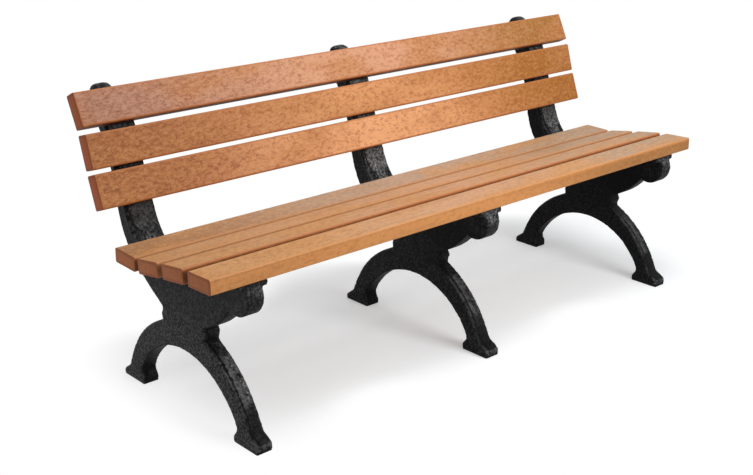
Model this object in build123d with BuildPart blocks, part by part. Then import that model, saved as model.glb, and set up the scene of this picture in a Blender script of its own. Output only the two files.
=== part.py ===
from build123d import *
from math import cos, hypot, radians, sin
import os

# Slatted park bench: four seat boards and three back boards on three moulded frames.
#
# Millimetres, +Z up. X runs along the bench, the sitter faces -Y, and the origin lies on the
# ground under the middle of the bench. Frame shapes are drawn in the side view, with y = 0 at
# the middle of the waist and y growing towards the back.

os.makedirs("parts", exist_ok=True)

# ---------------------------------------------------------------- boards
bench_length = 1829.0          # six-foot boards
board_width = 89.0             # two-by-four section
board_thickness = 38.0
board_edge_radius = 5.0        # eased long edges

# ---------------------------------------------------------------- seat and back layout, side view
seat_rise = 427.5              # underside of the front seat board, at its middle
front_board_reach = 235.5      # from the waist forward to the middle of the front board
seat_gap = 18.0
seat_drops = (2.0, 8.0, 9.5, -1.5)      # degrees down towards the back, front board first
lower_back_setback = 138.0     # middle of rear seat board to middle of lowest back board
lower_back_rise = 152.0
back_gap = 12.0
back_leans = (20.0, 17.0, 26.0)         # degrees back from upright, lowest board first

# ---------------------------------------------------------------- frame section
frame_spacing = 794.0          # centre to centre along the bench
web_thickness = 48.0
flange_width = 86.0
flange_thickness = 16.0
flange_edge_bevel = 3.0

# ---------------------------------------------------------------- flange, along the boards
lip_setback = 5.5              # from the front board's front edge back to the flange's lip
post_setback = 12.5            # from the top board's top edge down to the flange's end
curve_clearance = 1.5          # flat flange behind the rear seat board
curve_drop = 30.0              # straight flange below the lowest back board

# ---------------------------------------------------------------- legs, measured from the waist
arch_crown = (-8.0, 170.5)     # top of the arch between the legs
foot_inner = 201.0             # ends of the sole
foot_outer = 299.0
foot_thickness = 16.0
sole_radius = 3.0
toe_radius = 8.5
ankle_height = 38.0
ankle_radius = 14.0
waist_low = 225.0              # heights of the hollows above and below the waist's knobs
waist_high = 260.0
notch_radius = 5.0             # rounding in those hollows and behind the nose

# pairs: front leg, rear leg
ankle_inner = (218.0, 213.5)
ankle_outer = (266.0, 268.0)
leg_bow = (26.0, 31.0)         # swell of a leg's outer edge, off its chord
waist_low_half = (90.0, 89.0)
waist_high_half = (90.0, 83.5)
waist_knob_bow = (11.0, 7.0)

# ---------------------------------------------------------------- arms and post
arm_bow = 11.5                 # swell of the underside of the front arm
nose_radius = 53.0             # rounded nose under the front of the seat
nose_setback = 43.0            # middle of the nose, back and down from the lip
nose_drop = 39.0
nose_start_angle = -28.0       # where the arm meets the nose, from straight down to the front
nose_end_setback = 4.0         # where the nose runs up into the flange
nose_end_drop = 5.0
haunch_swells = ((0.3, 23.0), (0.7, 31.0))   # fraction of the rear arm's chord, swell off it
haunch_top = (-46.5, 75.0)     # along and behind the lowest back board, from its middle
post_hollow = (55.0, 60.0)
post_swell = (-27.5, 75.5)     # along and behind the top back board, from its middle
post_knob = (42.0, 43.5)
post_knob_radius = 34.0
post_knob_start = 88.0         # where the knob leaves the flange, from straight down

# ---------------------------------------------------------------- lag screws
screw_offset = 33.5            # from the middle of the web
screw_diameter = 6.0
screw_grip = 28.0              # length of shank inside a board
screw_head_height = 4.0
screw_head_flats = 10.0
hole_clearance = 0.4           # radial, screw in flange
pilot_clearance = 0.05         # radial, screw in board
tip_clearance = 3.0            # pilot hole beyond the screw's tip


# ---------------------------------------------------------------- the line the boards lie on
class Place:
    """One board's place in the side view: the middle of its underside and the way it climbs."""

    def __init__(self, y, z, climb):
        self.y = y
        self.z = z
        self.along = (cos(radians(climb)), sin(radians(climb)))

    def step(self, distance, behind=0):
        """The point a distance up the board's width and another behind its underside."""
        y = self.y + distance * self.along[0] + behind * self.along[1]
        z = self.z + distance * self.along[1] - behind * self.along[0]
        return (y, z)


def next_place(last, climb, pitch):
    """The place one pitch further back or up, past the corner half-way between the boards."""
    corner = last.step(pitch / 2)
    return Place(*Place(*corner, climb).step(pitch / 2), climb)


seat_pitch = board_width + seat_gap
seat_places = [Place(-front_board_reach, seat_rise, -seat_drops[0])]
for drop in seat_drops[1:]:
    seat_places.append(next_place(seat_places[-1], -drop, seat_pitch))
rear_seat = seat_places[-1]

back_pitch = board_width + back_gap
back_start = (rear_seat.y + lower_back_setback, rear_seat.z + lower_back_rise)
back_places = [Place(*back_start, 90 - back_leans[0])]
for lean in back_leans[1:]:
    back_places.append(next_place(back_places[-1], 90 - lean, back_pitch))
low_back, top_back = back_places[0], back_places[-1]

half_board = board_width / 2
lip = seat_places[0].step(lip_setback - half_board)
seat_corners = [place.step(seat_pitch / 2) for place in seat_places[:-1]]
seat_end = rear_seat.step(half_board + curve_clearance)
curve_end = low_back.step(-half_board - curve_drop)
down_the_post = (-low_back.along[0], -low_back.along[1])
post_corners = [place.step(back_pitch / 2) for place in back_places[:-1]]
post_end = top_back.step(half_board - post_setback)


def bearing_line():
    """The line that the boards lie on, from the lip up to the end of the post's flange."""
    Polyline(lip, *seat_corners, seat_end)
    TangentArc(curve_end, seat_end, tangent=down_the_post)
    Polyline(curve_end, *post_corners, post_end)


# ---------------------------------------------------------------- frame outlines
FRONT, REAR = 0, 1


def on_circle(centre, radius, angle):
    """The point at an angle in degrees from straight down, turning towards the front."""
    return (centre[0] - radius * sin(radians(angle)), centre[1] - radius * cos(radians(angle)))


def off_chord(start, end, fraction, swell):
    """The point a fraction of the way from start to end, moved off to the right of that line."""
    chord = (end[0] - start[0], end[1] - start[1])
    y = start[0] + chord[0] * fraction + chord[1] * swell / hypot(*chord)
    z = start[1] + chord[1] * fraction - chord[0] * swell / hypot(*chord)
    return (y, z)


def leg_outline(leg):
    """One leg's outline drawn as a rear leg, from the inner ankle round the foot to the waist."""
    ankle = (ankle_outer[leg], ankle_height)
    low_notch = (waist_low_half[leg], waist_low)
    high_notch = (waist_high_half[leg], waist_high)
    Polyline(
        (ankle_inner[leg], ankle_height),
        (foot_inner, foot_thickness),
        (foot_inner, 0),
        (foot_outer, 0),
        (foot_outer, foot_thickness),
        ankle,
    )
    SagittaArc(ankle, low_notch, -leg_bow[leg])
    SagittaArc(low_notch, high_notch, -waist_knob_bow[leg])


nose_centre = (lip[0] + nose_setback, lip[1] - nose_drop)
nose_start = on_circle(nose_centre, nose_radius, nose_start_angle)
nose_end = (lip[0] + nose_end_setback, lip[1] - nose_end_drop)


def front_arm_outline():
    """Underside of the arm under the seat, and the rounded nose up to the lip."""
    nose_front = on_circle(nose_centre, nose_radius, 90)
    SagittaArc((-waist_high_half[FRONT], waist_high), nose_start, arm_bow)
    ThreePointArc(nose_start, on_circle(nose_centre, nose_radius, 45), nose_front)
    TangentArc(nose_front, nose_end, tangent=(0, 1))
    Line(nose_end, lip)


knob_centre = top_back.step(*post_knob)


def post_outline():
    """Underside of the rear arm, the back of the post and its rounded top."""
    knob_back = on_circle(knob_centre, post_knob_radius, -90)
    knob_front = on_circle(knob_centre, post_knob_radius, post_knob_start)
    waist = (waist_high_half[REAR], waist_high)
    top_of_haunch = low_back.step(*haunch_top)
    haunch = [off_chord(waist, top_of_haunch, *swell) for swell in haunch_swells]
    Spline(
        waist,
        *haunch,
        top_of_haunch,
        low_back.step(*post_hollow),
        top_back.step(*post_swell),
        knob_back,
        tangents=[(haunch[0][0] - waist[0], haunch[0][1] - waist[1]), (0, 1)],
    )
    ThreePointArc(knob_back, on_circle(knob_centre, post_knob_radius, 180), knob_front)
    Line(knob_front, post_end)


def eased_corners():
    """Outline corners that are rounded in the side view, with their radii."""
    corners = [(*nose_start, notch_radius)]
    for leg, way in ((FRONT, -1), (REAR, 1)):
        corners.append((way * foot_inner, foot_thickness, toe_radius))
        corners.append((way * foot_inner, 0, sole_radius))
        corners.append((way * foot_outer, 0, sole_radius))
        corners.append((way * foot_outer, foot_thickness, toe_radius))
        corners.append((way * ankle_inner[leg], ankle_height, ankle_radius))
        corners.append((way * ankle_outer[leg], ankle_height, ankle_radius))
        corners.append((way * waist_low_half[leg], waist_low, notch_radius))
        corners.append((way * waist_high_half[leg], waist_high, notch_radius))
    return corners


# ---------------------------------------------------------------- planes in the bench's own axes
back_edge = knob_centre[0] + post_knob_radius
waist_y = (foot_outer - back_edge) / 2            # puts the origin under the middle of the bench


def side_plane(x):
    """Side view at x: local X is the distance behind the waist, local Y is the height."""
    return Plane(origin=(x, waist_y, 0), x_dir=(0, 1, 0), z_dir=(1, 0, 0))


def board_plane(place):
    """Plane of a board's underside: local X along the bench, normal into the board."""
    normal = (0, -place.along[1], place.along[0])
    return Plane(origin=(0, place.y + waist_y, place.z), x_dir=(1, 0, 0), z_dir=normal)


frames = {"left": -frame_spacing, "centre": 0.0, "right": frame_spacing}
slats = {
    "seat_slat_front": seat_places[0],
    "seat_slat_front_middle": seat_places[1],
    "seat_slat_rear_middle": seat_places[2],
    "seat_slat_rear": seat_places[3],
    "back_slat_bottom": back_places[0],
    "back_slat_middle": back_places[1],
    "back_slat_top": back_places[2],
}


def screw_shift(name):
    """The screws change sides of the web from one board to the next."""
    return screw_offset * (-1) ** list(slats).index(name)


# ---------------------------------------------------------------- frames
for side, x in frames.items():
    with BuildPart() as flange:
        with BuildSketch(side_plane(x - flange_width / 2)):
            with BuildLine():
                bearing_line()
                offset(amount=flange_thickness, side=Side.RIGHT)
            make_face()
        extrude(amount=flange_width)
        chamfer(flange.faces().filter_by(Axis.X).edges(), flange_edge_bevel)

    with BuildPart() as frame:
        with BuildSketch(side_plane(x - web_thickness / 2)) as outline:
            with BuildLine():
                leg_outline(REAR)
                with BuildLine(mode=Mode.PRIVATE) as front_leg:
                    leg_outline(FRONT)
                add(mirror(front_leg.line, about=Plane.YZ, mode=Mode.PRIVATE))
                front_ankle = (-ankle_inner[FRONT], ankle_height)
                ThreePointArc(front_ankle, arch_crown, (ankle_inner[REAR], ankle_height))
                front_arm_outline()
                post_outline()
                bearing_line()
            make_face()
            for y, z, radius in eased_corners():
                fillet(outline.vertices().sort_by_distance((y, z, 0))[0], radius)
        extrude(amount=web_thickness)

        add(flange.part)

        # one screw hole through the flange under each board
        for name, place in slats.items():
            with BuildSketch(board_plane(place)):
                with Locations((x + screw_shift(name), 0)):
                    Circle(screw_diameter / 2 + hole_clearance)
            extrude(amount=-flange_thickness, mode=Mode.SUBTRACT)
    frame.part.label = "frame_" + side
    export_step(frame.part, "parts/frame_" + side + ".step")


# ---------------------------------------------------------------- boards
for name, place in slats.items():
    with BuildPart() as slat:
        with BuildSketch(board_plane(place)):
            Rectangle(bench_length, board_width)
        extrude(amount=board_thickness)
        fillet(slat.edges().filter_by(Axis.X), board_edge_radius)
        with BuildSketch(board_plane(place)):
            with Locations(*[(x + screw_shift(name), 0) for x in frames.values()]):
                Circle(screw_diameter / 2 + pilot_clearance)
        extrude(amount=screw_grip + tip_clearance, mode=Mode.SUBTRACT)
    slat.part.label = name
    export_step(slat.part, "parts/" + name + ".step")


# ---------------------------------------------------------------- lag screws, up through the flange
for row in ("seat", "back"):
    for side, x in frames.items():
        with BuildPart() as screws:
            for name, place in slats.items():
                if not name.startswith(row):
                    continue
                head_plane = board_plane(place).offset(-flange_thickness)
                with BuildSketch(head_plane):
                    with Locations((x + screw_shift(name), 0)):
                        RegularPolygon(screw_head_flats / 2, 6, major_radius=False)
                extrude(amount=-screw_head_height)
                with BuildSketch(head_plane):
                    with Locations((x + screw_shift(name), 0)):
                        Circle(screw_diameter / 2)
                extrude(amount=flange_thickness + screw_grip)
        screws.part.label = row + "_screws_" + side
        export_step(screws.part, "parts/" + screws.part.label + ".step")
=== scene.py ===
# %% [markdown]
# # A slatted park bench
#
# The bench is three moulded plastic frames that carry seven thick boards. The frames and boards
# already exist as a packed model, so this script is only about how they look: rounded, pebbled
# frames, mottled boards, plain screws, soft studio light and a camera.
#
# The first cell loads the packed model.

# %% Load the packed model
from math import atan2, cos, pi, radians, sin

import bmesh
import bpy
from mathutils import Matrix, Vector, noise
from mathutils.bvhtree import BVHTree


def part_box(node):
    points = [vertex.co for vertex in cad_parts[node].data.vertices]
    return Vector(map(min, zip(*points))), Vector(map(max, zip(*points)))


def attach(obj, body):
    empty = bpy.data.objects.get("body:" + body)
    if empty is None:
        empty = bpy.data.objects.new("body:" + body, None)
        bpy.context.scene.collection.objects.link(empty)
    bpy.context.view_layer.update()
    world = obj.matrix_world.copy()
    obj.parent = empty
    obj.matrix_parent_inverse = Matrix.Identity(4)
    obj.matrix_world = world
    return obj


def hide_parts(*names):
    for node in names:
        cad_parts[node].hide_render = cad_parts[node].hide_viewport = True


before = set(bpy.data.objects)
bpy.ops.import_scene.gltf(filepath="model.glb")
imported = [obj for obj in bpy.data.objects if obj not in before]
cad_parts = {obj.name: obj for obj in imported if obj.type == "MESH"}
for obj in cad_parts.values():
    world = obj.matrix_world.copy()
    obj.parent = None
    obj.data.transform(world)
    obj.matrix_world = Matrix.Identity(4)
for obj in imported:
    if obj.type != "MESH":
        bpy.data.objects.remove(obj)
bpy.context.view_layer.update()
print("nodes:", sorted(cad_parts))

# %% [markdown]
# ## The camera
#
# A long bench shows best from a standing person's eye height and from one side, where the seat, the
# back and one end are all in view. The camera stands there. Its direction is three angles: how far
# it is turned round the bench, how far it looks down, and the hair's breadth by which it is tilted
# sideways, as a camera held in the hand is.

# %% Place the camera
camera_place = Vector((-2.2513, -2.3353, 1.4252))
turn = radians(-42.222)
look_down = radians(19.712)
tilt = radians(0.182)
image_width = 753
focal_pixels = 1177.83
sensor_width = 36.0

backwards = Vector((sin(turn) * cos(look_down), -cos(turn) * cos(look_down), sin(look_down)))
level = Vector((cos(turn), sin(turn), 0.0))
square = backwards.cross(level)
rightwards = level * cos(tilt) + square * sin(tilt)
upwards = backwards.cross(rightwards)

camera_data = bpy.data.cameras.new("camera")
camera_data.sensor_width = sensor_width
camera_data.lens = focal_pixels / image_width * sensor_width
camera = bpy.data.objects.new("camera", camera_data)
bpy.context.scene.collection.objects.link(camera)
axes = Matrix((rightwards, upwards, backwards)).transposed()
camera.matrix_world = Matrix.Translation(camera_place) @ axes.to_4x4()
bpy.context.scene.camera = camera
print("lens in mm:", round(camera_data.lens, 2))

# %% [markdown]
# ## Shader maths
#
# A procedural material is a small calculation that runs at every point of a surface. Written with
# nodes, a sum such as `a * 0.5 + b` is two boxes and three wires. The class below wraps one socket,
# so that the same sum can be typed as it stands, and each operator adds its Math node.


# %% A socket that understands arithmetic
class Value:
    """One output socket of a shader tree, with arithmetic for sockets that hold a number."""

    def __init__(self, tree, socket):
        self.tree = tree
        self.socket = socket

    def math(self, operation, *inputs):
        return self.tree.add("Math", dict(enumerate(inputs)), operation=operation)

    def __add__(self, other):
        return self.math("ADD", self, other)

    __radd__ = __add__

    def __sub__(self, other):
        return self.math("SUBTRACT", self, other)

    def __rsub__(self, other):
        return self.math("SUBTRACT", other, self)

    def __mul__(self, other):
        return self.math("MULTIPLY", self, other)

    __rmul__ = __mul__

    def size(self):
        return self.math("ABSOLUTE", self)

    def ease(self, low, high):
        """0 below low, 1 above high, and a smooth climb between them."""
        inputs = {"Value": self, "From Min": low, "From Max": high}
        return self.tree.add("MapRange", inputs, interpolation_type="SMOOTHSTEP")

    def band(self, rise, fall):
        """0, then a smooth climb to 1 over the range rise, and back to 0 over the range fall."""
        return self.ease(*rise) - self.ease(*fall)


print("Value has:", [name for name in vars(Value) if not name.startswith("_")])


# %% [markdown]
# The second class holds one material's node tree. Its one method `add` makes any node from its
# type, its settings and what goes into its sockets, and the others are shorthands for the nodes
# that are used most: noise, a mix of two colours and a bump.


# %% A material's node tree
class Finish:
    """A material and its node tree, with one method that adds any node."""

    def __init__(self, name):
        self.material = bpy.data.materials.new(name)
        self.material.use_nodes = True
        self.nodes = self.material.node_tree.nodes
        self.links = self.material.node_tree.links
        self.shader = self.nodes["Principled BSDF"]
        self.place = self.add("TexCoord", {}, output="Object")

    def fill(self, node, inputs):
        for key, value in inputs.items():
            if isinstance(value, Value):
                self.links.new(value.socket, node.inputs[key])
            else:
                node.inputs[key].default_value = value

    def add(self, kind, inputs, output=0, **settings):
        node = self.nodes.new("ShaderNode" + kind)
        for key, value in settings.items():
            setattr(node, key, value)
        self.fill(node, inputs)
        return Value(self, node.outputs[output])

    def noise(self, place, scale, detail=2.0, roughness=0.5, stretch=(1, 1, 1)):
        stretched = self.add("Mapping", {"Vector": place, "Scale": stretch})
        inputs = {"Vector": stretched, "Scale": scale, "Detail": detail, "Roughness": roughness}
        return self.add("TexNoise", inputs, output="Fac")

    def mix(self, amount, first, second):
        """The first colour where amount is 0 and the second where it is 1."""
        colours = {0: amount, 6: first, 7: second}
        return self.add("Mix", colours, output=2, data_type="RGBA")

    def parts(self, vector):
        node = self.nodes.new("ShaderNodeSeparateXYZ")
        self.fill(node, {"Vector": vector})
        return [Value(self, socket) for socket in node.outputs]

    def bump(self, height, distance, strength=1.0):
        inputs = {"Height": height, "Distance": distance, "Strength": strength}
        self.fill(self.shader, {"Normal": self.add("Bump", inputs)})

    def finish(self, inputs):
        self.fill(self.shader, inputs)
        return self.material


def colour(red, green, blue):
    """A colour written as on a screen, 0 to 255, as the linear numbers that a shader takes."""
    written = [value / 255 for value in (red, green, blue)]
    linear = [v / 12.92 if v <= 0.04045 else ((v + 0.055) / 1.055) ** 2.4 for v in written]
    return (*linear, 1.0)


print("shader helpers ready")

# %% [markdown]
# ## Pieces from the packed model
#
# The packed nodes are loose triangles. To work on one, it is copied into a bmesh and its corners
# are welded. A finished piece goes into the scene through `show`, which names the node that it
# stands for and the finish that it takes.


# %% Copying a node and showing a piece
def welded_copy(node):
    """A packed node's mesh as a bmesh whose triangles share their corners."""
    shape = bmesh.new()
    shape.from_mesh(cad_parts[node].data)
    bmesh.ops.remove_doubles(shape, verts=shape.verts, dist=1e-5)
    return shape


def as_object(shape, name):
    mesh = bpy.data.meshes.new(name)
    shape.to_mesh(mesh)
    shape.free()
    thing = bpy.data.objects.new(name, mesh)
    bpy.context.scene.collection.objects.link(thing)
    return thing


def show(piece, node, material, smooth_angle=40):
    """Give a finished piece its material, and let it stand for its packed node."""
    piece.data.materials.append(material)
    piece.data.shade_smooth()
    piece.data.set_sharp_from_angle(angle=radians(smooth_angle))
    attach(piece, "root")
    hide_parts(node)
    print(piece.name, "faces:", len(piece.data.polygons))


# %% [markdown]
# ## The frames
#
# A frame is one thick moulding. Its packed shape has the right outline but sharp edges, where the
# real one is rounded all over like a cast part, and its faces are lumpy. The edges could be
# bevelled, but a bevel struggles in the tight hollows of this outline. A remesh doesn't care about
# corners: it covers the whole solid with small even faces, and smoothing those wears every edge
# round. It would turn the screw holes into craters, though, so they are closed first. The screws
# fill them anyway.


# %% Close the screw holes
hole_edge = 0.00115
flange_depth = 0.018


def close_screw_holes(shape):
    """Take out the walls of the screw holes, the only faces between very short edges."""
    short = [edge for edge in shape.edges if edge.calc_length() < hole_edge]
    rims = {corner for edge in short for corner in edge.verts}
    walls = [
        face
        for face in shape.faces
        if all(corner in rims for corner in face.verts)
        and max(edge.calc_length() for edge in face.edges) < flange_depth
    ]
    bmesh.ops.delete(shape, geom=walls, context="FACES")
    open_edges = [edge for edge in shape.edges if edge.is_boundary]
    filled = bmesh.ops.holes_fill(shape, edges=open_edges, sides=0)["faces"]
    return len(filled)


print("edges of screw holes are shorter than", hole_edge * 1000, "mm")


# %% [markdown]
# The remeshed frame is smoothed a few times everywhere, and the legs more. The soles only move
# sideways, because they stand flat on the ground.

# %% Remesh and round a frame
voxel = 0.0026
rounding_steps = 5
leg_steps = 7
leg_bottom = 0.055
leg_top = 0.24
sole_height = 0.006


def even_mesh(shape, name):
    """The same solid, covered with small even faces."""
    rough = as_object(shape, name)
    remesh = rough.modifiers.new("remesh", "REMESH")
    remesh.mode = "VOXEL"
    remesh.voxel_size = voxel
    graph = bpy.context.evaluated_depsgraph_get()
    even = bmesh.new()
    even.from_mesh(rough.evaluated_get(graph).to_mesh())
    bpy.data.objects.remove(rough)
    return even


def smooth(shape, corners, steps, upwards=True):
    ways = {"use_axis_x": True, "use_axis_y": True, "use_axis_z": upwards}
    for _ in range(steps):
        bmesh.ops.smooth_vert(shape, verts=corners, factor=0.5, **ways)


def round_frame(shape):
    sole = [corner for corner in shape.verts if corner.co.z <= sole_height]
    rest = [corner for corner in shape.verts if corner.co.z > sole_height]
    legs = [corner for corner in rest if leg_bottom < corner.co.z < leg_top]
    smooth(shape, rest, rounding_steps)
    smooth(shape, legs, leg_steps)
    smooth(shape, sole, rounding_steps, upwards=False)


print("the remeshed faces are", voxel * 1000, "mm wide")


# %% [markdown]
# The top of each post ends in a knob that is domed from side to side too, and worn lower at its
# front. Near the frame's two sides and at the front, the knob's rim is drawn in towards its
# middle, and the dome is smoothed again. How far up, aside or forward a point lies is counted in
# the knob's radius or half width, and each pair of shares is where a drop begins and is full.

# %% Dome the knob on top of the post
knob_radius = 0.034
knob_reach = knob_radius * 1.15
side_drop = 0.24
front_drop = 0.2
top_share = (-0.6, 0.3)
side_share = (0.2, 1.0)
front_share = (-0.6, 0.6)
dome_steps = 8
post_lean = radians(26)


def ease(value, low, high):
    """0 below low, 1 above high, and a smooth climb between them."""
    share = min(max((value - low) / (high - low), 0.0), 1.0)
    return share * share * (3 - 2 * share)


def dome_knob(shape, middle, half_width, climb):
    """Lower the knob's rim towards the frame's sides; climb is the way the post runs there."""
    domed = []
    for corner in shape.verts:
        arm = corner.co - middle
        arm.x = 0
        if arm.length > knob_reach:
            continue
        upper = ease(arm.dot(climb) / knob_radius, *top_share)
        aside = ease(abs(corner.co.x - middle.x) / half_width, *side_share)
        forward = ease(-arm.y / knob_radius, *front_share)
        if upper > 0:
            corner.co -= arm * upper * (side_drop * aside + front_drop * forward)
            domed.append(corner)
    smooth(shape, domed, dome_steps)


print("knobs are lowered within", round(knob_reach, 4), "m of their middles")


# %% [markdown]
# The toe of each front foot is a thick rounded pad rather than a wedge. Its top is lifted a few
# millimetres, most of all near the tip, and the slope behind it stays where it is.

# %% Thicken the toes
toe_lift = 0.005
toe_out = (0.262, 0.262 + 0.016)
toe_bottom = (0.005, 0.015)
toe_top = (0.022, 0.045)


def lift_toe(shape):
    for corner in shape.verts:
        out = ease(-corner.co.y, *toe_out)
        up = ease(corner.co.z, *toe_bottom) * (1 - ease(corner.co.z, *toe_top))
        corner.co.z += toe_lift * out * up


print("toes are lifted by up to", toe_lift * 1000, "mm")


# %% [markdown]
# Last come the lumps. The mould's two flat sides came out smooth, but the narrow faces between
# them, and the edges most of all, are lumpy. So each point gets some numbers that are kept on the
# mesh, where the material can read them too:
#
# - its flatness, which is 1 on the flat sides, 0 on the narrow faces and between them on edges;
# - its ridge, which is over 0.5 where the surface bulges and under 0.5 in a hollow;
# - how far across the frame it lies, from 0 at its left side to 1 at its right. Below the seat
#   the sides are those of the web, and above it those of the wider flange.
#
# The first two are averaged with their neighbours, to spread the edges a little.

# %% Tell sides, edges and hollows apart
spread_rounds = 4
sharpest_bulge = 0.00022
web_half = 0.024
flange_bottom = 0.44


def averaged(shape, values):
    """Each corner's value, averaged with those of the corners around it."""
    spread = []
    for corner in shape.verts:
        total = values[corner.index]
        for edge in corner.link_edges:
            total = total + values[edge.other_vert(corner).index]
        spread.append(total / (1 + len(corner.link_edges)))
    return spread


def keep(shape, name, values):
    layer = shape.verts.layers.float.new(name)
    for corner, value in zip(shape.verts, values):
        corner[layer] = min(max(value, 0.0), 1.0)


def mark_mesh(shape, middle, half_width):
    shape.normal_update()
    shape.verts.index_update()
    places = [corner.co.copy() for corner in shape.verts]
    normals = [corner.normal.copy() for corner in shape.verts]
    inner = averaged(shape, places)
    bulges = [(a - b).dot(n) / sharpest_bulge for a, b, n in zip(places, inner, normals)]
    for _ in range(spread_rounds):
        normals = averaged(shape, normals)
        bulges = averaged(shape, bulges)
    keep(shape, "flatness", [abs(normal.normalized().x) for normal in normals])
    keep(shape, "ridge", [0.5 + 0.5 * bulge for bulge in bulges])
    halves = [web_half if place.z < flange_bottom else half_width for place in places]
    across = [0.5 + 0.5 * (place.x - middle) / half for place, half in zip(places, halves)]
    keep(shape, "across", across)


print("marks are averaged", spread_rounds, "times")


# %% [markdown]
# A last number is how much of the sky a point sees past the boards and the frame itself: about 0.5
# on an open upright face, more where the face leans back, and 0 deep under the seat. The material
# uses it for painted light and shade: open parts are painted paler, partly as wear and partly as
# light, and sheltered ones are painted black as shade. It is found by looking from just above each
# point at a few places spread over the sky. What is further away than the reach doesn't count as
# shelter.

# %% Find how much sky each point sees
sky_places = 9
sky_rounds = 3
lowest_place = 0.2
place_range = 0.75
golden_angle = radians(137.5)
shelter_reach = 0.35
ray_lift = 0.004


def sky(count):
    """Directions spread evenly over the sky."""
    ways = []
    for number in range(count):
        height = lowest_place + place_range * (number + 0.5) / count
        reach = (1 - height * height) ** 0.5
        angle = number * golden_angle
        ways.append(Vector((reach * cos(angle), reach * sin(angle), height)))
    return ways


def mark_sky(shape, roof):
    tree = BVHTree.FromBMesh(roof)
    ways = sky(sky_places)
    wall_light = sum(abs(way.y) for way in ways) / 2
    values = []
    for corner in shape.verts:
        start = corner.co + corner.normal * ray_lift
        light = 0.0
        for way in ways:
            facing = way.dot(corner.normal)
            if facing > 0 and tree.ray_cast(start, way, shelter_reach)[0] is None:
                light += facing
        values.append(light / wall_light / 2)
    for _ in range(sky_rounds):
        values = averaged(shape, values)
    keep(shape, "sky", values)


print("each point looks at", len(sky(sky_places)), "places in the sky")


# %% [markdown]
# Every point is then pushed in along its normal by a little noise. The points only move inwards,
# so the frame never grows past its packed size. Edges are told by their flatness, which is neither
# high nor low. Each frame has its own lumps, because the noise moves on by a step.

# %% Press lumps into a frame
side_lump = 0.0003
narrow_lump = 0.0006
edge_lump = 0.0012
lump_size = 0.014
edge_lump_size = 0.009
narrow_flatness = (0.5, 0.95)
edge_flatness = (0.3, 0.55), (0.75, 0.97)
lump_step = (7.3, 3.1, 0)


def press_lumps(shape, seed):
    layer = shape.verts.layers.float["flatness"]
    shift = Vector([seed * step for step in lump_step])
    rise, fall = edge_flatness
    for corner in shape.verts:
        if corner.co.z < sole_height / 2:
            continue
        flatness = corner[layer]
        narrow = 1 - ease(flatness, *narrow_flatness)
        on_edge = ease(flatness, *rise) * (1 - ease(flatness, *fall))
        broad = noise.noise(corner.co / lump_size + shift)
        fine = noise.noise(corner.co / edge_lump_size - shift)
        depth = (side_lump + (narrow_lump - side_lump) * narrow) * (0.5 + 0.5 * broad + 0.2 * fine)
        depth += edge_lump * on_edge * ease(fine, -0.1, 0.5)
        corner.co -= corner.normal * max(depth, 0.0)


print("the lumps on edges are up to", edge_lump * 1000, "mm deeper")


# %% [markdown]
# ### The frames' plastic
#
# The moulded plastic is black with a charcoal bloom. The flat sides have a fine grain of paler
# specks. The narrow faces are covered in pebbles a few millimetres wide, whose tops are worn grey
# in patches, most of all halfway down a leg, and painted paler as light where they are open to the
# sky. A ragged dark seam runs along them near the left side, where two parts of the mould met, and
# the legs are worn beside it. Hollows and sheltered parts are painted dark as shade, the feet are
# darker, the toes' rims carry a painted highlight, and the posts are an even grey.
#
# A frame is told apart by height, and the tips of its toe and nose by how far forward they lie.
# A part with two ranges, in metres, begins over the first one and ends over the second. A part
# with only one range goes on from there.

# %% The frame's parts, by height
toe_rim = (0.008, 0.012), (0.022, 0.03)
worn_leg = (0.06, 0.1), (0.17, 0.22)
waist_part = (0.16, 0.24), (0.26, 0.32)
post_part = (0.4, 0.5), (0.7, 0.75)
outer_leg = (0.1, 0.18), (0.26, 0.32)
foot_top = (0.07, 0.14)
under_seat = (0.18, 0.34)
above_seat = (0.3, 0.45)
arm_part = (0.33, 0.37)
toe_front = (-0.29, -0.27)
nose_front = (-0.28, -0.2)
print("worn part of a leg:", worn_leg)

# %% [markdown]
# The seam lies at a share of the way across the frame, counted from its left side, and some noise
# makes it wander. On the posts it lies closer to the side. It is a band like the parts above, and
# so are the worn stretches beside it.

# %% The seam and the wear beside it
seam_band = (0.15, 0.19), (0.25, 0.3)
inner_band = (0.27, 0.33), (0.46, 0.7)
outer_band = (0.05, 0.09), (0.15, 0.18)
wander_width = 0.3
post_shift = 0.13


def seam_and_wear(line, flatness, height, nose):
    """How much of a point is seam, and how much of it is worn because it lies beside the seam."""
    seam = line.band(*seam_band) * (1 - flatness.ease(0.6, 0.85)) * (1 - nose * 0.85)
    inner = line.band(*inner_band) * height.band(*worn_leg)
    rise, fall = outer_leg
    outer = line.band(*outer_band) * height.ease(*rise) * (1 - height.ease(*fall)) * 0.6
    return seam, inner + outer


print("the seam wanders over", wander_width, "of the frame's width")

# %% [markdown]
# Wear shows on the tops of the pebbles, and the pebbles that see more of the sky are painted paler
# as light. The feet and the knobs on top of the posts have less of it, the waist is painted darker
# as shade under the haunch, and what sees little of the sky is painted darker as shade. A post has
# blobs of grey all over instead.


# %% How worn the narrow faces are
def wear_and_shade_by_height(height):
    # The waist band is painted shade under the haunch; the feet and the knobs are simply less pale.
    waist_shade = height.band(*waist_part) * 0.5
    return height.ease(*foot_top) * 0.88 + 0.12 - waist_shade - height.ease(*post_part[1]) * 0.55


def worn_and_lit_pebbles(tops, blobs, patches, open_air_wear_and_light, wear_and_shade, post):
    worn_and_lit = tops * 0.45 + blobs.ease(0.38, 0.62) * 0.6
    # Paler where more sky is seen: painted light over the wear.
    worn_and_lit = worn_and_lit * (0.3 + patches.ease(0.36, 0.62) * 0.7) * (0.35 + open_air_wear_and_light * 0.8) * wear_and_shade
    return worn_and_lit * (1 - post * 0.75) + post * (0.06 + blobs.ease(0.3, 0.7) * 0.7)


print("a post's wear begins at heights of", post_part[0], "m")
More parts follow.
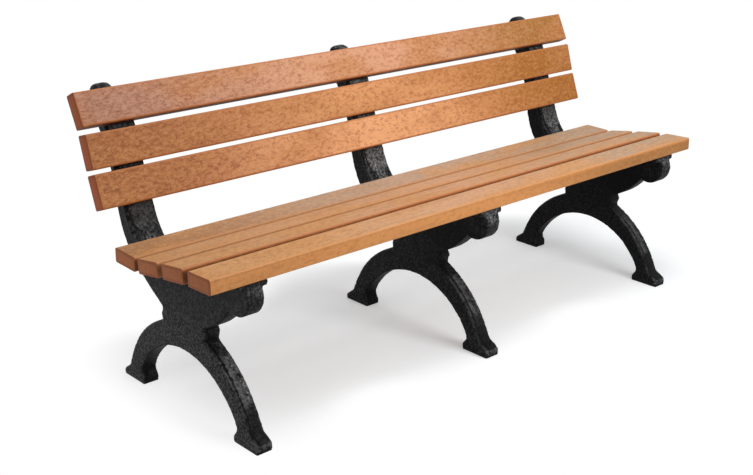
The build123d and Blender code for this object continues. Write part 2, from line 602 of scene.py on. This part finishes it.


# %% [markdown]
# The pebbles come from a Voronoi pattern, the grain and patches are noise, and the numbers that the
# mesh carries blend them. Each frame has its own four greys: for its sides under the seat and lower
# down, and for the narrow faces of its legs and its post. They are painted light and shade, lighter
# or darker by how the light falls on each frame and each part. The pairs at the end say from which
# and up to which value a mark counts: of the grain, of the sky that is seen, and of the ridge.

# %% The frames' greys and patterns
side_dark = colour(6, 6, 6)
narrow_dark = colour(11, 11, 11)
edge_pale = colour(112, 112, 114)
frame_greys_by_light = {
    "left": (60, 84, 148, 108),
    "centre": (62, 62, 104, 160),
    "right": (42, 44, 90, 134),
}
grain_scale = 190
patch_scale = 55
blob_scale = 135
wander_scale = 90
pebble_scale = 150.0
relief_depth = 0.0015
grain_speck = (0.43, 0.61)
open_sky = (0.3, 0.85)
little_sky = (0.04, 0.3)
bulge_ridge = (0.58, 0.82)
toe_ridge = (0.6, 0.8)
hollow_ridge = (0.3, 0.48)
print("greys:", frame_greys_by_light)


# %% [markdown]
# The material first mixes the colour of the flat sides and that of the narrow faces, and chooses
# between them by the surface's flatness. Then it lays the worn edges with their painted highlight,
# the worn stretch beside the seam, the painted shade of the hollows, the seam, the painted
# highlight of the toes' rims and the painted shade of the shelter over them, one after another,
# because a later one hides an earlier one.


# %% The frames' material
def frame_patterns(finish):
    """Grain, patches, blobs and pebbles' tops, and the noise that makes the seam wander."""
    grain = finish.noise(finish.place, grain_scale, detail=3, roughness=0.7)
    patches = finish.noise(finish.place, patch_scale, detail=4, roughness=0.65)
    blobs = finish.noise(finish.place, blob_scale, detail=3, roughness=0.6)
    ragged = finish.noise(finish.place, wander_scale, detail=3)
    voronoi = {"Vector": finish.place, "Scale": pebble_scale, "Smoothness": 0.6}
    gaps = finish.add("TexVoronoi", voronoi, output="Distance", feature="SMOOTH_F1")
    return grain, patches, blobs, 1 - gaps.ease(0.15, 0.6), (ragged - 0.5) * wander_width


def frame_plastic(greys):
    finish = Finish("frame_plastic")
    arm_pale, low_pale, leg_pale, post_pale = [colour(grey, grey, grey + 1) for grey in greys]
    flatness, ridge, across, sky_seen = [
        finish.add("Attribute", {}, output="Fac", attribute_name=name)
        for name in ("flatness", "ridge", "across", "sky")
    ]
    grain, patches, blobs, tops, wander = frame_patterns(finish)
    forward, height = finish.parts(finish.place)[1:]
    open_air_wear_and_light = sky_seen.ease(*open_sky)
    toe = height.band(*toe_rim) * (1 - forward.ease(*toe_front))
    nose = (1 - forward.ease(*nose_front)) * height.ease(*arm_part)
    post = height.band(*post_part)

    # The greys of the sides and of the narrow faces are painted light and shade, set for each
    # frame.
    side_pale = finish.mix(height.ease(*under_seat), low_pale, arm_pale)
    side = finish.mix(grain.ease(*grain_speck), side_dark, side_pale)

    narrow_pale = finish.mix(height.ease(*above_seat), leg_pale, post_pale)
    wear_and_shade = wear_and_shade_by_height(height)
    worn_and_lit = worn_and_lit_pebbles(tops, blobs, patches, open_air_wear_and_light, wear_and_shade, post)
    narrow = finish.mix(worn_and_lit, narrow_dark, narrow_pale)

    aside = (across - 0.5).size() * 2 + wander
    narrow_part = (1 - aside.ease(0.8, 0.92)) * (1 - flatness.ease(0.6, 0.9))
    pebbled = narrow_part.math("MAXIMUM", narrow_part, nose * patches.ease(0.42, 0.55) * 0.8)
    line = across + wander + post * post_shift
    seam, beside = seam_and_wear(line, flatness, height, nose)
    beside = beside * patches.ease(0.32, 0.5) * wear_and_shade.ease(0.3, 0.6)
    # Worn edges: partly wear and partly a painted highlight on the bulges.
    worn_edge_and_highlight = ridge.ease(*bulge_ridge) * patches.ease(0.38, 0.58)
    # A painted highlight along the rims of the toes.
    toe_rim_highlight = ridge.ease(*toe_ridge) * toe * blobs.ease(0.4, 0.6)
    # Hollows are painted dark as shade.
    hollow_shade = 1 - ridge.ease(*hollow_ridge)
    # What sees little of the sky, except the nose, is painted dark as shade.
    shelter_shade = (1 - sky_seen.ease(*little_sky)) * (1 - nose * 0.6)

    shade = finish.mix(pebbled, side, narrow)
    shade = finish.mix(worn_edge_and_highlight * open_air_wear_and_light * 0.45, shade, edge_pale)
    shade = finish.mix(beside * open_air_wear_and_light * 0.5, shade, edge_pale)
    shade = finish.mix(hollow_shade, shade, narrow_dark)
    shade = finish.mix(seam * 0.9, shade, narrow_dark)
    shade = finish.mix(toe_rim_highlight * 0.6, shade, edge_pale)
    shade = finish.mix(shelter_shade * 0.78, shade, narrow_dark)
    relief = (tops * 0.6 + blobs * 1.2) * narrow_part + grain * 0.4 + patches - seam
    finish.bump(relief, relief_depth, 0.9)
    finish.shader.inputs["Specular IOR Level"].default_value = 0.06
    return finish.finish({"Base Color": shade, "Roughness": 0.42 + grain * 0.2})


# %% [markdown]
# Each frame goes through all these steps in order. What can hide the sky from a point is the frame
# itself and every board, so these are joined into one mesh, the roof, while the marks are made.

# %% Make the three frames
for seed, side in enumerate(frame_greys_by_light):
    node = "frame_" + side
    low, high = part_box(node)
    middle, half_width = (low.x + high.x) / 2, (high.x - low.x) / 2
    knob_middle = Vector((middle, high.y - knob_radius, high.z - knob_radius))
    post_climb = Vector((0, sin(post_lean), cos(post_lean)))
    shape = welded_copy(node)
    holes = close_screw_holes(shape)
    shape = even_mesh(shape, "moulding_" + side)
    round_frame(shape)
    dome_knob(shape, knob_middle, half_width, post_climb)
    lift_toe(shape)
    roof = shape.copy()
    for name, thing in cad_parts.items():
        if "slat" in name:
            roof.from_mesh(thing.data)
    mark_mesh(shape, middle, half_width)
    mark_sky(shape, roof)
    roof.free()
    press_lumps(shape, seed)
    finish = frame_plastic(frame_greys_by_light[side])
    moulding = as_object(shape, "moulding_" + side)
    show(moulding, node, finish, smooth_angle=60)
    print("closed", holes, "openings of screw holes")

# %% [markdown]
# ## The boards
#
# The boards are plastic lumber: long extruded bars, coloured like cedar. Each is a cube stretched
# to the board's size with its edges rounded, turned and moved to where the packed board is. The
# packed board's own triangles say where that is: the largest one lies on a wide face.


# %% Measure a packed board
def board_place(node):
    """Middle, size and slope of a packed board. The slope turns a level board onto it."""
    shape = welded_copy(node)
    widest = max(shape.faces, key=lambda face: face.calc_area())
    out = widest.normal if widest.normal.z > 0 else -widest.normal
    slope = atan2(-out.y, out.z)
    level = Matrix.Rotation(-slope, 3, "X")
    corners = [level @ corner.co for corner in shape.verts]
    shape.free()
    low = Vector(map(min, *corners))
    high = Vector(map(max, *corners))
    return level.inverted() @ ((low + high) / 2), high - low, slope


print("size of a seat board:", board_place("seat_slat_front")[1])


# %% [markdown]
# The long edges have the radius that the extruder gives them. The sawn ends are eased too, a
# little less.

# %% Make a board's mesh
long_edge_radius = 0.005
long_edge_steps = 5
end_edge_radius = 0.004
end_edge_steps = 4


def bevel(shape, edges, radius, steps):
    bmesh.ops.bevel(
        shape,
        geom=edges,
        offset=radius,
        offset_type="OFFSET",
        segments=steps,
        profile=0.5,
        affect="EDGES",
        material=-1,
        clamp_overlap=True,
    )


def board_shape(size):
    shape = bmesh.new()
    bmesh.ops.create_cube(shape, size=1.0)
    bmesh.ops.scale(shape, vec=size, verts=shape.verts)
    long_edges = [edge for edge in shape.edges if edge.calc_length() > size.x * 0.99]
    bevel(shape, long_edges, long_edge_radius, long_edge_steps)
    end_edges = [
        edge
        for edge in shape.edges
        if all(abs(corner.co.x) > size.x * 0.499 for corner in edge.verts)
    ]
    bevel(shape, end_edges, end_edge_radius, end_edge_steps)
    return shape


print("radius of the long edges in mm:", long_edge_radius * 1000)


# %% [markdown]
# ### The boards' plastic
#
# The wood-coloured plastic is mottled: a tan ground with soft reddish-brown strokes and paler
# spots, stretched a little along the board, over wide patches that lean to pink or to orange.
# The pattern is built from noise at several scales. Noise is most often close to 0.5, and the
# lines where it is exactly that are thin curls. They are plainest at a board's left end.

# %% The mottled pattern
stroke_scale = 125
speck_scale = 260
curl_scale = 75
wide_patch_scale = 8
streak_scale = 60
fleck_stretch = (0.6, 1, 1)
patch_stretch = (0.5, 1, 1)
streak_stretch = (0.06, 1, 1)
mottle_depth = 0.0006


def mottling(finish, place, leftwards, look):
    """Dark strokes, pale spots and wide patches, each as a share from 0 to about 1."""
    strokes = finish.noise(place, stroke_scale, detail=4, roughness=0.66, stretch=fleck_stretch)
    specks = finish.noise(place, speck_scale, detail=3, roughness=0.6, stretch=fleck_stretch)
    curves = finish.noise(place, curl_scale, detail=2, roughness=0.6, stretch=fleck_stretch)
    patches = finish.noise(place, wide_patch_scale, detail=3, stretch=patch_stretch)
    streaks = finish.noise(place, streak_scale, detail=3, stretch=streak_stretch)
    curls = 1 - (curves - 0.5).size().ease(0.0, 0.07)
    curls = curls * specks.ease(0.4, 0.56) * (0.2 + leftwards * 0.45)
    dark = (1 - strokes.ease(0.32, 0.54)) * 0.72 + curls + streaks.ease(0.5, 0.7) * look["streak"]
    finish.bump(strokes * 0.5 + specks * 0.5, mottle_depth, 0.38)
    finish.fill(finish.shader, {"Roughness": 0.5 + specks * 0.2})
    return dark, strokes.ease(0.5, 0.68), patches.ease(0.4, 0.65)


print("strokes come about", stroke_scale, "to the metre")


# %% [markdown]
# The faces differ too. The rounded edges carry a painted highlight, with fewer strokes and a
# stronger orange. The narrow sides that face another board are painted dark as shade, and the sawn
# ends are a dull red inside an orange-brown rim. Each of these is found by its distance from the
# board's outside: the first distance of a pair, in metres, is where it begins, and the second is
# where it has its full strength. The first three pairs are places along the board instead, counted
# from its middle, over which its tint changes. The last pair is counted down from the board's top:
# over it, the edge's painted highlight gives way to the front side's colour, which is painted shade
# or, on the foremost seat board, painted light.
#
# The pattern has to lie along each board, so a Mapping node turns the coordinates back by the
# board's own slope. Each board gets its own material, with its own patch of the pattern and tint.

# %% A board's material
left_end = (-0.8, -0.1)
right_end = (0.1, 0.8)
front_right_end = (0.0, 0.68)
rounded_edge = (0.007, 0.003)
eased_end = (0.006, 0.003)
narrow_side = (0.0012, 0.0003)
sawn_end = (0.0018, 0.0008)
rim_width = (0.010, 0.006)
rim_height = (0.009, 0.005)
under_edge = (0.0035, 0.010)
pattern_step = (3.7, 1.9, 1.0)


def near(place, half, distances):
    """0 further inside than the first distance, and 1 nearer the outside than the second."""
    begin, full = distances
    return place.ease(half - begin, half - full)


def board_plastic(name, place, size, slope, seed, look):
    finish = Finish(name)
    turned = {"Vector": finish.place, "Location": place, "Rotation": (slope, 0, 0)}
    local = finish.add("Mapping", turned, vector_type="TEXTURE")
    x, y, z = finish.parts(local)
    moved_on = [seed * step for step in pattern_step]
    own = finish.add("VectorMath", {0: local, 1: moved_on}, operation="ADD")
    half_length, half_width, half_depth = size / 2

    leftwards = 1 - x.ease(*left_end)
    dark, spots, patches = mottling(finish, own, leftwards, look)
    # The tint towards the ends is partly the plastic's own and partly painted light that falls off
    # towards the ends.
    ground = finish.mix(leftwards, look["face"], look["left"])
    ground = finish.mix(x.ease(*right_end), ground, look["right"])
    ground = finish.mix(patches * 0.7, ground, look["patch"])
    ground = finish.mix(spots * look["spots"], ground, look["spot"])
    stroke = finish.mix(leftwards, look["stroke"], look["stroke_left"])
    shade = finish.mix(dark * look["contrast"], ground, stroke)
    # A painted highlight along the rounded long edges and the eased ends of the top.
    shade = finish.mix(near(y.size(), half_width, rounded_edge) * 0.7, shade, look["edge"])
    shade = finish.mix(near(x.size(), half_length, eased_end) * 0.5, shade, look["edge"])

    # The sides that face another board are painted dark as shade; the foremost seat board's front
    # is painted light, darker towards its right end.
    front = finish.mix(x.ease(*front_right_end), look["front"], look["front_right"])
    front = finish.mix(spots * 0.3, front, look["spot"])
    front = finish.mix((half_depth - z).ease(*under_edge), look["edge"], front)
    front = finish.mix(dark * 0.28, front, look["stroke"])
    shade = finish.mix(near(y * -1, half_width, narrow_side), shade, front)
    shade = finish.mix(near(y, half_width, narrow_side), shade, look["rear"])

    rim = near(y.size(), half_width, rim_width)
    rim = rim.math("MAXIMUM", rim, near(z.size(), half_depth, rim_height))
    sawn = finish.mix(rim * 0.8, look["end"], look["rim"])
    sawn = finish.mix(dark * 0.4, sawn, look["stroke"])
    shade = finish.mix(near(x.size(), half_length, sawn_end), shade, sawn)
    finish.shader.inputs["Specular IOR Level"].default_value = 0.35
    return finish.finish({"Base Color": shade})


print("the pattern moves on by", pattern_step, "m from board to board")

# %% [markdown]
# The four seat boards share most of their colours, and so do the three back boards. Each look below
# starts from one of these two and changes what differs. A face's tint drifts from one end of the
# board to the other, partly the plastic's own tint and partly painted light that falls off towards
# the ends, and on the back boards the strokes are darker at the left end. The edge colour is a
# painted highlight. The front and rear sides are painted dark as shade where another board keeps
# the light away. The foremost seat board's front is open to the light and is painted the palest,
# and darker towards its right end.

# %% The boards' looks
common = {"spot": colour(220, 166, 120), "edge": colour(188, 112, 56)}
seat = dict(
    common,
    face=colour(206, 157, 119),
    left=colour(210, 156, 105),
    right=colour(179, 148, 118),
    patch=colour(206, 146, 86),
    spots=0.55,
    contrast=0.36,
    streak=0.35,
    stroke=colour(118, 56, 22),
    stroke_left=colour(118, 56, 22),
    front=colour(116, 64, 34),
    front_right=colour(116, 64, 34),
    rear=colour(112, 58, 28),
    end=colour(172, 98, 44),
    rim=colour(148, 74, 24),
)
back = dict(
    common,
    face=colour(244, 176, 123),
    left=colour(174, 107, 54),
    right=colour(176, 110, 32),
    patch=colour(196, 130, 72),
    spots=0.38,
    contrast=0.7,
    streak=0.0,
    stroke=colour(146, 70, 30),
    stroke_left=colour(120, 56, 22),
    front=colour(92, 46, 24),
    front_right=colour(92, 46, 24),
    rear=colour(150, 98, 64),
    end=colour(169, 78, 8),
    rim=colour(140, 66, 14),
)
looks = {
    "seat_slat_front": dict(
        seat,
        left=colour(219, 164, 111),
        face=colour(206, 159, 122),
        front=colour(233, 157, 90),
        front_right=colour(186, 124, 62),
        edge=colour(216, 146, 84),
    ),
    "seat_slat_front_middle": seat,
    "seat_slat_rear_middle": dict(
        seat,
        front=colour(150, 96, 58),
        front_right=colour(150, 96, 58),
        edge=colour(200, 138, 86),
    ),
    "seat_slat_rear": dict(
        seat,
        left=colour(181, 133, 92),
        face=colour(188, 156, 130),
        front=colour(136, 82, 46),
        front_right=colour(136, 82, 46),
        edge=colour(194, 132, 82),
    ),
    "back_slat_bottom": back,
    "back_slat_middle": dict(back, face=colour(227, 160, 104)),
    "back_slat_top": dict(
        back,
        face=colour(219, 160, 122),
        left=colour(185, 131, 104),
        stroke_left=colour(138, 76, 47),
        right=colour(174, 118, 52),
        spot=colour(216, 166, 138),
    ),
}
print("looks of", len(looks), "boards")

# %% [markdown]
# A board's cube is rounded, turned by the board's slope and moved into place. Then the board's
# look makes its material, and the finished piece stands for the packed board.

# %% Make the seven boards
for seed, (node, look) in enumerate(looks.items()):
    place, size, slope = board_place(node)
    shape = board_shape(size)
    turned = Matrix.Translation(place) @ Matrix.Rotation(slope, 4, "X")
    bmesh.ops.transform(shape, matrix=turned, verts=shape.verts)
    name = node.replace("slat", "board")
    material = board_plastic(name, place, size, slope, seed, look)
    show(as_object(shape, name), node, material)

# %% [markdown]
# ## The screws
#
# The screws sit under the flanges, where only someone lying on the ground would see them. The
# packed ones have the right shape, so they only get a dull zinc finish.


# %% The screws' material
cloud_scale = 260
scratch_scale = 900
scratch_stretch = (1, 0.2, 1)
scratch_depth = 0.0001
zinc_dull = colour(150, 152, 154)
zinc_bright = colour(196, 198, 200)


def zinc():
    finish = Finish("screw_steel")
    cloud = finish.noise(finish.place, cloud_scale, detail=3)
    scratches = finish.noise(finish.place, scratch_scale, detail=2, stretch=scratch_stretch)
    shade = finish.mix(cloud.ease(0.35, 0.7), zinc_dull, zinc_bright)
    finish.bump(scratches, scratch_depth, 0.4)
    return finish.finish({"Base Color": shade, "Metallic": 1.0, "Roughness": 0.32 + cloud * 0.25})


screw_finish = zinc()
for name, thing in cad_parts.items():
    if "screws" in name:
        thing.data.materials.clear()
        thing.data.materials.append(screw_finish)
        print("zinc finish on", name)

# %% [markdown]
# ## Floor, background and light
#
# The bench stands on a white studio floor that runs into a white background. The world is white
# where the camera looks at it and dimmer where it lights the bench. One wide lamp hangs overhead,
# so that the shadow lies under the seat. A second one in front lights the back boards, and a
# weak one at the left reaches the nearest frame most.
#
# Only the camera, and what metal or glass would mirror, sees the floor as pure white and glowing a
# little. Far away the floor only glows, as white as the background. That keeps the shadow pale and
# the background white, with no more light on the bench. The part that keeps its shadow reaches
# further forward under each frame than between them.

# %% The floor
floor_glow = 0.32
floor_reach = 30.0
shadow_middle = (0.19, 0.06)
shadow_length = 0.88
shadow_width = 0.36
shadow_wave = 0.08
fade = (0.4, 2.6)
seen_white = (0.945, 0.975, 1, 1)
bounced_white = (0.64, 0.67, 0.69, 1)
frame_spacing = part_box("frame_right")[0].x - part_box("frame_centre")[0].x


def grey(level):
    return (level, level, level, 1)


def sum_of_rays(finish):
    """1 for rays from the camera and for mirrored and refracted ones, 0 for all others."""
    rays = ("Is Camera Ray", "Is Glossy Ray", "Is Transmission Ray")
    camera, glossy, refracted = [finish.add("LightPath", {}, output=ray) for ray in rays]
    return camera + glossy + refracted


def floor_white():
    finish = Finish("floor")
    finish.shader.inputs["Roughness"].default_value = 0.9
    finish.shader.inputs["Specular IOR Level"].default_value = 0.0
    finish.shader.inputs["Emission Strength"].default_value = 1.0
    x, y, _ = finish.parts(finish.place)
    wave = finish.add("Math", {0: x * (2 * pi / frame_spacing)}, operation="COSINE")
    width = wave * shadow_wave + shadow_width
    along = (x - shadow_middle[0]) * (1 / shadow_length)
    across = width.math("DIVIDE", y - shadow_middle[1], width)
    distance = along * along * along * along + across * across * across * across
    seen = sum_of_rays(finish)
    away = distance.ease(*fade)
    white = finish.mix(away, seen_white, grey(0))
    white = finish.mix(seen, bounced_white, white)
    glow = finish.mix(away, grey(floor_glow), grey(1))
    return finish.finish({"Base Color": white, "Emission Color": finish.mix(seen, grey(0), glow)})


shape = bmesh.new()
bmesh.ops.create_grid(shape, x_segments=1, y_segments=1, size=floor_reach)
floor = as_object(shape, "floor")
floor.data.materials.append(floor_white())
print("floor side in m:", round(floor.dimensions.x, 2))
print("frame spacing in m:", round(frame_spacing, 4))

# %% [markdown]
# The world's light is white for the camera and for mirrored rays, and dimmer for the rays that
# light the bench. It is the same test of rays as on the floor. A world has no Principled shader,
# so two Background nodes are mixed.

# %% The world
ambient = 0.22
world = bpy.data.worlds.new("world")
bpy.context.scene.world = world
world.use_nodes = True
nodes, links = world.node_tree.nodes, world.node_tree.links
background = nodes["Background"]
background.inputs["Color"].default_value = (1, 1, 1, 1)
background.inputs["Strength"].default_value = ambient
seen = nodes.new("ShaderNodeBackground")
seen.inputs["Color"].default_value = (1, 1, 1, 1)
seen.inputs["Strength"].default_value = 1.0
path = nodes.new("ShaderNodeLightPath")
seen_rays = path.outputs["Is Camera Ray"]
for ray in ("Is Glossy Ray", "Is Transmission Ray"):
    either = nodes.new("ShaderNodeMath")
    either.operation = "MAXIMUM"
    links.new(seen_rays, either.inputs[0])
    links.new(path.outputs[ray], either.inputs[1])
    seen_rays = either.outputs[0]
choice = nodes.new("ShaderNodeMixShader")
links.new(seen_rays, choice.inputs[0])
links.new(background.outputs[0], choice.inputs[1])
links.new(seen.outputs[0], choice.inputs[2])
links.new(choice.outputs[0], nodes["World Output"].inputs["Surface"])
print("world light:", ambient)


# %% [markdown]
# An area lamp is a glowing square. The wider it is, the softer the shadow's edge. Each one is
# turned to face a point on the bench.


# %% The lamps
def lamp(name, place, target, size, watts):
    data = bpy.data.lights.new(name, "AREA")
    data.size = size
    data.energy = watts
    thing = bpy.data.objects.new(name, data)
    bpy.context.scene.collection.objects.link(thing)
    thing.location = place
    thing.rotation_euler = (Vector(target) - Vector(place)).to_track_quat("-Z", "Y").to_euler()
    print(name, "watts:", watts)


lamp("top_lamp", (0.15, -0.3, 3.0), (0.05, 0.0, 0.4), 1.6, 43)
lamp("front_lamp", (0.5, -2.5, 1.9), (0.1, 0, 0.5), 1.4, 37)
lamp("left_lamp", (-2.0, 0.25, 0.25), (-0.85, 0.1, 0.2), 0.6, 3.0)

# %% [markdown]
# ## Finish
#
# Standard view transform shows colours as they are written.

# %% Finish
bpy.context.scene.view_settings.view_transform = "Standard"
